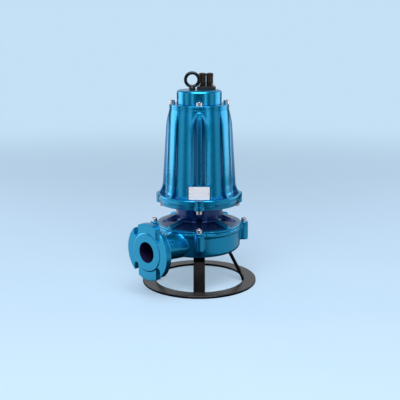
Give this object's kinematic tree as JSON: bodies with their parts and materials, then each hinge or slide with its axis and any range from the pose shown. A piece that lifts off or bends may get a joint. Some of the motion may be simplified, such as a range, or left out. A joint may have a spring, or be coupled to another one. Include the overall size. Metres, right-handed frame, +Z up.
{
  "type": "submersible sludge pump",
  "caption": "Submersible sludge pump with a ribbed motor bell, snail-shaped volute, slotted outlet flange, lifting eye, cable glands and a ring stand on flat legs.",
  "frame": {"origin": "middle of the part's box on the floor, beside the foot of the pump's axis", "axes": "+Z up along the pump's axis, -X out of the outlet flange, +Y to the side away from the outlet"},
  "size_m": [0.4596, 0.39, 0.7122],
  "materials": {
    "bright_blue_paint": "gloss enamel on cast iron",
    "deep_blue_paint": "gloss enamel on cast iron",
    "black_paint": "gloss black enamel on steel",
    "stainless_steel": "polished stainless",
    "turned_steel": "turned",
    "cast_iron": "as cast",
    "aluminium_plate": "satin",
    "black_rubber": "matt",
    "dark_brass": "browned"
  },
  "bodies": {
    "root": {"base_ring": "black_paint", "leg_front": "black_paint", "leg_right": "black_paint", "leg_back": "black_paint", "leg_left": "black_paint", "leg_screw_front": "stainless_steel", "leg_screw_right": "stainless_steel", "leg_screw_back": "stainless_steel", "leg_screw_left": "stainless_steel", "suction_cover": "deep_blue_paint", "volute_casing": "bright_blue_paint", "shaft": "turned_steel", "impeller": "cast_iron", "motor_bracket": "deep_blue_paint", "volute_screw_front": "stainless_steel", "volute_screw_right": "stainless_steel", "volute_screw_back": "stainless_steel", "volute_screw_left": "stainless_steel", "motor_housing": "bright_blue_paint", "housing_screw_front": "stainless_steel", "housing_screw_right": "stainless_steel", "housing_screw_back": "stainless_steel", "housing_screw_left": "stainless_steel", "nameplate": "aluminium_plate", "top_cap": "bright_blue_paint", "cap_screw_front": "stainless_steel", "cap_screw_right": "stainless_steel", "cap_screw_back": "stainless_steel", "cap_screw_left": "stainless_steel", "lifting_eye": "black_paint", "gland_base": "cast_iron", "gland_body_1": "dark_brass", "gland_body_2": "dark_brass", "gland_nut_1": "dark_brass", "gland_nut_2": "dark_brass", "gland_seal_1": "black_rubber", "gland_seal_2": "black_rubber", "gland_screw_1": "stainless_steel", "gland_screw_2": "stainless_steel"}
  },
  "joints": []
}
